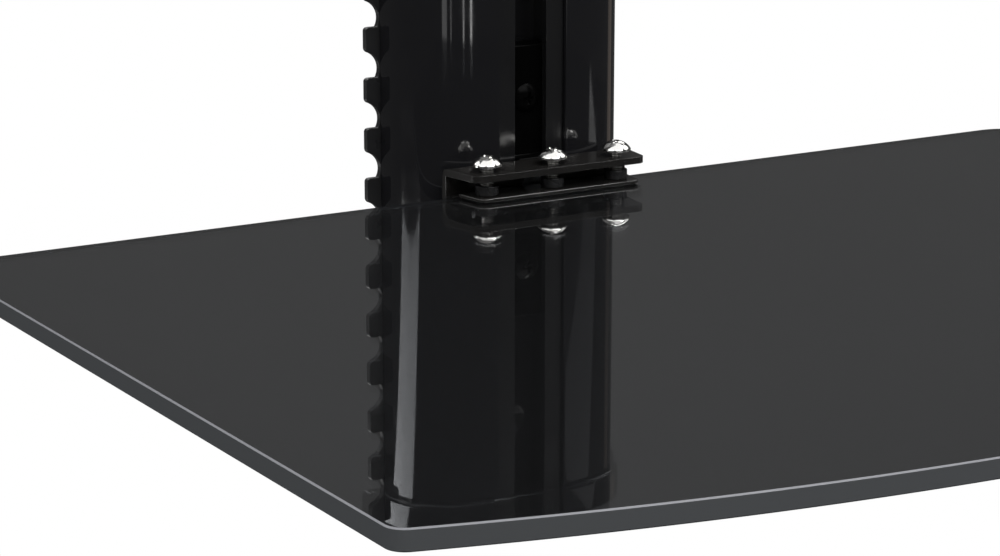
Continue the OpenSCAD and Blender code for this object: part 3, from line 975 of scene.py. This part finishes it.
    def small_screws(self) -> None:
        """Countersunk screws in the caps and behind the wall plate."""
        for side, name in ((-1, "bottom_cap_screws"), (1, "top_cap_screws")):
            span = Span.of(name)
            head = Screw(Head.FLAT, span.size.y, *self.cap_screw)
            piece = moved(head.build(name + "_set"), facing(Vector((0, 0, 0)), Vector((0, 0, side))))
            pitch = span.size.x - span.size.y
            face = span.high.z if side > 0 else span.low.z
            self.repeat(piece, 2, 1, pitch, 0, Vector((-pitch / 2, span.centre.y, face)))
            dress(piece, [ZINC], "column", "zinc", name)
        for name, columns in (("rail_screws", 1), ("cover_screws", 2)):
            span = Span.of(name)
            head_d = span.size.x if columns == 1 else self.cover_screw_head_d
            head = Screw(Head.FLAT, head_d, self.plate_screw_head_h, head_d * self.thread_share,
                         span.size.y - self.plate_screw_play, self.plate_screw_pitch)
            piece = moved(head.build(name + "_set"), facing(Vector((0, 0, 0)), Vector((0, 1, 0))))
            rows = self.plate_screw_rows
            wide, high = span.size.x - head_d, (span.size.z - head_d) / (rows - 1)
            self.repeat(piece, columns, rows, wide, high,
                        Vector((-wide / 2 if columns > 1 else 0, span.high.y, span.low.z + head_d / 2)))
            dress(piece, [ZINC], "column", "zinc", name)

    @staticmethod
    def repeat(piece: Piece, columns: int, rows: int, wide: float, high: float, start: Vector) -> None:
        """Repeats a screw in a field of columns and rows, from a first place."""
        field_tree().run(piece, Columns=columns, Rows=rows, Wide=wide * MM, High=high * MM,
                         Start=start * MM, Material=material_of(ZINC))


# Carriage

@dataclass
class Carriage:
    """Slide bar in the column's channel, the folded bracket on it, and the glass with its pads."""

    nodes: dict[str, Piece]
    sheet: float = 2.0
    fold_r: float = 1.9
    front_half: float = 29.9       # half width of the bracket's front edge
    corner_r: float = 2.5
    thread_hole_d: float = 4.1
    screw_pitch: float = 22.8
    front_bow: float = 28.4        # rise of the bowed front over its corners
    front_corner_r: float = 5.0
    back_corner_r: float = 15.0
    arris: float = 0.35
    neck_w: float = 10.2
    neck_h: float = 16.5
    lock_screw: tuple[float, ...] = (2.2, 5.0, 0.8)   # head height, thread and pitch
    bracket_ease: float = 0.3
    bar_ease: float = 0.5
    glass_sharp: float = 20        # degrees from which the glass's edges stay sharp
    fold_start_share: float = 0.6  # of the fold's radius, that the plates reach into it
    plate_corner_flats: int = 8
    fold_flats: int = 6
    corner_steps: int = 14
    bow_steps: int = 120

    def __post_init__(self) -> None:
        """Reads the places of the CAD nodes."""
        self.glass = Span.of("glass_shelf")
        self.bracket = Span.of("shelf_bracket")
        self.bar = Span.of("slide_bar")

    def build(self) -> None:
        """Makes every piece of the carriage."""
        self.glass_shelf()
        self.folded_bracket()
        self.slide_bar()
        self.pads()
        self.lock_screws()

    def glass_outline(self, inset: float) -> list[Point]:
        """Draws the outline of the glass: round back corners, straight sides and a bowed front.

        Args:
            inset: How far it is drawn in.

        Returns:
            The points in x and y.
        """
        half, back = self.glass.high.x - inset, self.glass.high.y - inset
        bow_r = (self.glass.high.x ** 2 + self.front_bow ** 2) / (2 * self.front_bow)
        centre_y = self.glass.low.y + bow_r
        bow, corner, rear = bow_r - inset, self.front_corner_r - inset, self.back_corner_r - inset
        corner_y = centre_y - math.sqrt((bow - corner) ** 2 - (half - corner) ** 2)
        lean = math.degrees(math.atan2(centre_y - corner_y, half - corner))
        steps = self.corner_steps
        front = arc((0, centre_y), bow, -lean, lean - 180, self.bow_steps)[1:-1]
        return (arc((half - rear, back - rear), rear, 90, 0, steps)
                + arc((half - corner, corner_y), corner, 0, -lean, steps) + front
                + arc((corner - half, corner_y), corner, lean - 180, -180, steps)
                + arc((rear - half, back - rear), rear, 180, 90, steps))

    def glass_shelf(self) -> None:
        """Tempered glass with a ground edge under a frosted arris, whose pale colour is partly a painted
        highlight.
        """
        low, high, arris = self.glass.low.z, self.glass.high.z, self.arris
        levels = [(arris, low), (0.0, low + arris), (0.0, high - arris), (arris, high)]
        rings = [level(self.glass_outline(inset), z) for inset, z in levels]
        # The lower arris wears the ground edge's darker colour as painted shade, and the upper arris the
        # paler colour as a painted highlight.
        piece = loft("bowed_glass", rings, band_slots=(2, 2, 1))
        eased(piece, 0.0, angle=self.glass_sharp)
        dress(piece, [SMOKED, ARRIS_PAINTED_HIGHLIGHT, GROUND_EDGE], "carriage", "tinted_glass", "glass_shelf")

    def half_width(self, run: float, depth: float) -> float:
        """Works out the half width of a bracket plate.

        Args:
            run: Distance behind its front edge.
            depth: Its whole depth.

        Returns:
            The half width there.
        """
        flare = (self.bracket.high.x - self.front_half) / depth
        wide = self.front_half + flare * run
        r = self.corner_r
        return wide - (r - math.sqrt(r * r - (r - run) ** 2)) if run < r else wide

    def folded_bracket(self) -> None:
        """Steel sheet folded twice, with three holes for the clamp screws."""
        span, t, r = self.bracket, self.sheet, self.fold_r
        front, web = span.low.y, span.high.y
        depth = web - t - front
        corner, fold = ([math.radians(90 * i / flats) for i in range(flats + 1)]
                        for flats in (self.plate_corner_flats, self.fold_flats))
        plate = ([front + self.corner_r * (1 - math.cos(turn)) for turn in corner]
                 + [web - t - r * self.fold_start_share])
        rings = [(y, span.high.z, y, span.high.z - t, self.half_width(y - front, depth)) for y in plate]
        for turn in fold:
            y, z = web - r + r * math.sin(turn), span.high.z - r + r * math.cos(turn)
            rings.append((y, z, web - t, span.high.z - t, span.high.x))
        turned = [(y0, span.low.z + span.high.z - z0, y1, span.low.z + span.high.z - z1, w)
                  for y0, z0, y1, z1, w in reversed(rings)]
        skins = [[Vector((-w, y0, z0)), Vector((w, y0, z0)), Vector((w, y1, z1)), Vector((-w, y1, z1))]
                 for y0, z0, y1, z1, w in rings + turned]
        piece = loft("folded_bracket", skins)
        screw = Span.of("clamp_screw_middle").centre
        tools = [rod(self.thread_hole_d / 2, Vector((i * self.screw_pitch, screw.y, span.high.z - 2 * t)),
                     Vector((0, 0, 1)), 3 * t) for i in (-1, 0, 1)]
        cut(piece, *tools)
        eased(piece, self.bracket_ease)
        dress(piece, [E_COAT], "carriage", "bracket_black", "shelf_bracket")

    def slide_bar(self) -> None:
        """Bar in the channel with the neck that stands through the slot."""
        span, half = self.bar, self.neck_w / 2
        front = Span.of("lock_screw_upper").low.y + self.lock_screw[0]
        inside = (front + span.high.y) / 2
        ring = [(-half, span.low.y), (half, span.low.y), (half, inside), (-half, inside)]
        bar = [(span.low.x, front), (span.high.x, front), (span.high.x, span.high.y),
               (span.low.x, span.high.y)]
        neck = loft("neck", [level(ring, span.centre.z + side * self.neck_h / 2) for side in (-1, 1)])
        piece = loft("slide_bar_body", [level(bar, z) for z in (span.low.z, span.high.z)])
        step = piece.modifiers.new("join", "BOOLEAN")
        step.operation, step.solver, step.object = "UNION", "EXACT", neck
        baked(piece)
        bpy.data.objects.remove(neck)
        eased(piece, self.bar_ease)
        # The bar's near-black colour is partly painted shade in the slot.
        dress(piece, [BLACK_OXIDE_SLOT_SHADE], "carriage", "bar_black", "slide_bar")

    def pads(self) -> None:
        """Dresses the CAD solids that lie between steel and glass, or inside."""
        for name, finish in (("lower_pad", NITRILE), ("edge_buffer", NITRILE), ("bracket_bolt", ZINC),
                             ("locating_pins", ZINC)):
            slots = self.nodes[name].data.materials
            slots.clear()
            slots.append(material_of(finish))

    def lock_screws(self) -> None:
        """Two domed screws deep in the slot, which lock the bar."""
        head_h, thread_d, pitch = self.lock_screw
        for name in ("lock_screw_upper", "lock_screw_lower"):
            span = Span.of(name)
            head = Screw(Head.TRUSS, span.size.x, head_h, thread_d, span.size.y - head_h, pitch)
            base = Vector((0, span.low.y + head_h, span.centre.z))
            piece = moved(head.build(name + "_turned"), facing(base, Vector((0, -1, 0))))
            # The screws' near-black colour is partly painted shade in the slot.
            dress(piece, [BLACK_OXIDE_SLOT_SHADE], name, "bar_black", name)


# Clamp

@dataclass
class Clamp:
    """Pressure plate, its pad, three thrust cups and the three screws that press on them."""

    front_half: float = 28.0
    corner_r: float = 3.0
    flare_share: float = 0.141     # half width gained for each step towards the wall
    pad_inset: float = 0.6
    bar_ease: float = 0.28
    pad_ease: float = 0.08
    corner_flats: int = 10
    cup_bore_r: float = 2.05
    cup_floor: float = 0.6
    cup_edge_r: float = 0.35
    cup_edge_flats: int = 4
    head_h: float = 3.2
    thread_d: float = 4.0
    thread_pitch: float = 0.7
    thread_sink: float = 0.3       # of the thread, into the head
    recess_share: float = 0.49

    def build(self) -> None:
        """Makes every piece of the clamp."""
        self.plate("pressure_bar", "pressure_plate", 0.0, self.bar_ease, E_COAT, "bracket_black")
        self.plate("clamp_pad", "upper_pad", self.pad_inset, self.pad_ease, NITRILE, "rubber")
        for place in ("left", "middle", "right"):
            self.cup(place)
            self.screw(place)

    def plate(self, name: str, node: str, inset: float, ease: float, finish: Finish, slot: str) -> None:
        """Flat bar with round front corners, wider towards the wall.

        Args:
            name: The piece's name.
            node: The CAD node that it replaces.
            inset: How far its outline is drawn in.
            ease: Width of its rounded edges.
            finish: Its finish.
            slot: The record's material slot.
        """
        span = Span.of(node)
        x, y, r = self.front_half - inset, span.low.y, self.corner_r - inset
        lean = math.degrees(math.atan(self.flare_share))
        k = r * math.tan(math.radians((90 - lean) / 2))
        wide = x + self.flare_share * span.size.y
        steps = self.corner_flats
        ring = ([(wide, span.high.y)] + arc((x - k, y + r), r, -lean, -90, steps)
                + arc((k - x, y + r), r, -90, lean - 180, steps) + [(-wide, span.high.y)])
        piece = loft(name, [level(ring, z) for z in (span.low.z, span.high.z)])
        eased(piece, ease)
        dress(piece, [finish], "clamp", slot, node)

    def cup(self, place: str) -> None:
        """Nylon cup that takes a screw's tip.

        Args:
            place: The cup's place: left, middle or right.
        """
        node = "thrust_cup_" + place
        span = Span.of(node)
        outer, inner, floor, edge = span.size.x / 2, self.cup_bore_r, self.cup_floor, self.cup_edge_r
        profile = ([(0, 0), (outer - edge, 0), (outer, edge)]
                   + arc((outer - edge, span.size.z - edge), edge, 0, 90, self.cup_edge_flats)
                   + [(inner, span.size.z), (inner, floor), (0, floor)])
        piece = lathe(node + "_turned", profile)
        moved(piece, Matrix.Translation(Vector((span.centre.x, span.centre.y, span.low.z)) * MM))
        eased(piece, 0.0)
        dress(piece, [NYLON], "clamp", "black_nylon", node)

    def screw(self, place: str) -> None:
        """Nickel-plated truss head screw.

        Args:
            place: The screw's place: left, middle or right.
        """
        node = "clamp_screw_" + place
        span = Span.of(node)
        seat = span.high.z - self.head_h
        head = Screw(Head.TRUSS, span.size.x, self.head_h, self.thread_d,
                     seat - span.low.z + self.thread_sink, self.thread_pitch, recess_share=self.recess_share)
        piece = head.build(node + "_turned")
        moved(piece, Matrix.Translation(Vector((span.centre.x, span.centre.y, seat)) * MM))
        dress(piece, [NICKEL], node, "chrome", node)


# Studio

@dataclass(frozen=True)
class Softbox:
    """An area lamp that faces a point, with its size and places in metres."""

    name: str
    place: Place
    aim: Place
    wide: float
    high: float
    radiance: float
    spin: float = 0.0             # turn about its own axis, in degrees
    colour: str = "#ffffff"
    mirrored_only: bool = False   # shows in glossy surfaces and lights no matt one

    def build(self) -> None:
        """Puts the lamp in the scene."""
        lamp = bpy.data.lights.new(self.name, "AREA")
        lamp.shape = "RECTANGLE"
        lamp.size, lamp.size_y = self.wide, self.high
        lamp.energy = self.radiance * math.pi * self.wide * self.high
        lamp.color = linear(self.colour)[:3]
        made = bpy.data.objects.new(self.name, lamp)
        bpy.context.scene.collection.objects.link(made)
        toward = Vector(self.aim) - Vector(self.place)
        spin = Matrix.Rotation(math.radians(self.spin), 4, "Z")
        made.matrix_world = aimed(Vector(self.place), toward, "-Z") @ spin
        made.visible_camera = False
        made.visible_diffuse = made.visible_transmission = not self.mirrored_only


@dataclass
class Studio:
    """Pale floor, dim surroundings, bright cards, softboxes and the camera of the photograph."""

    azimuth: float = -31.24
    elevation: float = 14.04
    focal_px: float = 2718.14
    frame_px: float = 1000.0
    sensor: float = 36.0           # width, in millimetres
    clip: Point = (0.05, 100.0)
    eye: Place = (-0.42806, -0.71352, 0.13497)
    floor_z: float = -2.6
    floor_size: float = 60.0
    through_light: float = 0.005   # of the background, seen through the glass
    gloss_light: float = 0.060     # of the surroundings above, mirrored
    floor_gloss_light: float = 0.07
    fill_light: float = 0.3
    reflector_z: float = -0.45
    reflector_light: float = 11.0
    reflector_corners: tuple[Point, ...] = (
        (-1.743, -0.587), (-0.80, 0.208), (-0.45, 0.731), (-1.665, 0.756))

    softboxes: tuple[Softbox, ...] = (
        Softbox("overhead_softbox", (-0.15, -0.45, 1.25), (-0.15, -0.449, 0), 2.0, 1.7, 1.2),
        Softbox("arris_softbox", (0.75, -0.36, 1.23), (0, 0, 0), 0.4, 0.3, 15.0),
        Softbox("front_softbox", (0.05, -1.41, 1.271), (0, 0, 0), 1.6, 0.9, 3.6),
        Softbox("left_softbox", (-1.37, -0.37, 1.11), (0, 0, 0), 1.3, 0.9, 2.0),
        Softbox("right_softbox", (1.45, -0.26, 1.03), (0, 0, 0), 1.3, 0.8, 1.6),
        Softbox("rear_softbox", (0.75, 1.25, 1.12), (0, 0, 0), 1.8, 0.8, 2.4),
        Softbox("rear_left_softbox", (-0.95, 1.05, 1.12), (0, 0, 0), 1.3, 0.8, 2.2),
        Softbox("broad_strip", (-0.564, -1.284, -0.095), (-0.0287, -0.0234, -0.095), 0.165, 0.29, 1.3),
        Softbox("thin_strip", (-0.363, -1.352, -0.095), (-0.027, -0.024, -0.095), 0.022, 0.29, 2.2),
        Softbox("middle_strip", (-0.030, -1.395, -0.095), (-0.0233, -0.0254, -0.095), 0.03, 0.29, 4.2),
        Softbox("bright_strip", (0.134, -1.387, -0.095), (-0.021, -0.026, -0.095), 0.035, 0.29, 7.0),
        Softbox("side_strip", (1.344, -0.73, 0.25), (0.02, -0.025, 0), 0.26, 0.07, 1.2, 15),
        Softbox("rim_strip", (1.39, 0.19, -0.36), (0.03, -0.02, -0.1), 0.34, 0.55, 0.32, colour="#ffead9"),
        Softbox("right_card", (1.089, -0.80, -0.45), (1.089, -0.80, 0.55), 0.9, 0.45, 0.85, 14,
                mirrored_only=True),
    )

    def build(self) -> None:
        """Makes the whole studio."""
        self.world()
        self.floor()
        self.reflector()
        self.camera()
        for box in self.softboxes:
            box.build()
        bpy.context.scene.view_settings.view_transform = "Standard"

    @staticmethod
    def weighed(tree: Tree, levels: dict[str, float]) -> Socket:
        """Strength of a background by the kind of ray that sees it.

        Args:
            tree: The node tree.
            levels: Strength for each of Light Path's outputs.

        Returns:
            The socket that gives the strength.
        """
        path = add(tree, "ShaderNodeLightPath")
        total: Any = 0.0
        for ray, strength in levels.items():
            total = add(tree, "ShaderNodeMath", {"operation": "MULTIPLY_ADD"}, {
                0: path.outputs[ray], 1: strength, 2: total}).outputs[0]
        return total

    def seen(self, gloss: float) -> dict[str, float]:
        """Levels of the background: white to the camera, dimmer in glass and in reflections."""
        return {"Is Camera Ray": 1.0, "Is Transmission Ray": self.through_light, "Is Glossy Ray": gloss}

    def world(self) -> None:
        """Even grey surroundings."""
        world = bpy.data.worlds.new("studio")
        bpy.context.scene.world = world
        tree = blank(world)
        levels = self.seen(self.gloss_light) | {"Is Diffuse Ray": self.fill_light}
        back = add(tree, "ShaderNodeBackground", inputs={"Color": linear("#ffffff"),
                                                         "Strength": self.weighed(tree, levels)})
        add(tree, "ShaderNodeOutputWorld", inputs={"Surface": back.outputs[0]})

    @staticmethod
    def level_card(name: str, corners: Sequence[Point], height: float, made: bpy.types.Material) -> Piece:
        """Makes a flat, level part of the studio.

        Args:
            name: Its name.
            corners: Its corners in x and y, in metres.
            height: Its height, in metres.
            made: Its material.

        Returns:
            The object.
        """
        mesh = bmesh.new()
        outline = [(x / MM, y / MM) for x, y in corners]
        mesh.faces.new([mesh.verts.new(p) for p in level(outline, height / MM)])
        piece = into_object(name, mesh)
        piece.data.materials.append(made)
        return piece

    def floor(self) -> None:
        """Plain pale floor far below the shelf."""
        made = bpy.data.materials.new("pale_floor")
        tree = blank(made)
        pale = add(tree, "ShaderNodeBsdfDiffuse", inputs={"Color": linear("#d8d8d8")})
        white = add(tree, "ShaderNodeEmission", inputs={
            "Color": linear("#ffffff"), "Strength": self.weighed(tree, self.seen(self.floor_gloss_light))})
        path = add(tree, "ShaderNodeLightPath")
        mix = add(tree, "ShaderNodeMixShader", inputs={
            0: path.outputs["Is Diffuse Ray"], 1: white.outputs[0], 2: pale.outputs[0]})
        add(tree, "ShaderNodeOutputMaterial", inputs={"Surface": mix.outputs[0]})
        half = self.floor_size / 2
        self.level_card("floor", [(-half, -half), (half, -half), (half, half), (-half, half)],
                        self.floor_z, made)

    def reflector(self) -> None:
        """Bright four-cornered card below the shelf, left of it, which only glossy surfaces mirror."""
        made = bpy.data.materials.new("bright_card")
        tree = blank(made)
        white = add(tree, "ShaderNodeEmission", inputs={
            "Color": linear("#ffffff"), "Strength": self.reflector_light})
        add(tree, "ShaderNodeOutputMaterial", inputs={"Surface": white.outputs[0]})
        piece = self.level_card("reflector", self.reflector_corners, self.reflector_z, made)
        piece.visible_camera = piece.visible_diffuse = False
        piece.visible_transmission = piece.visible_shadow = False

    def camera(self) -> None:
        """Camera of the photograph."""
        lens = bpy.data.cameras.new("camera")
        lens.sensor_width = self.sensor
        lens.lens = self.focal_px / self.frame_px * lens.sensor_width
        lens.clip_start, lens.clip_end = self.clip
        made = bpy.data.objects.new("camera", lens)
        bpy.context.scene.collection.objects.link(made)
        a, e = math.radians(self.azimuth), math.radians(self.elevation)
        back = Vector((math.sin(a) * math.cos(e), -math.cos(a) * math.cos(e), math.sin(e)))
        made.matrix_world = aimed(Vector(self.eye), -back, "-Z")
        bpy.context.scene.camera = made


def main() -> None:
    """Loads the frame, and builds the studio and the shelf."""
    logging.basicConfig(level=logging.INFO, format="%(name)s: %(message)s")
    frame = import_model()
    Studio().build()
    for part in (Column(), Carriage(frame["nodes"]), Clamp()):
        part.build()


if __name__ == "__main__":
    main()
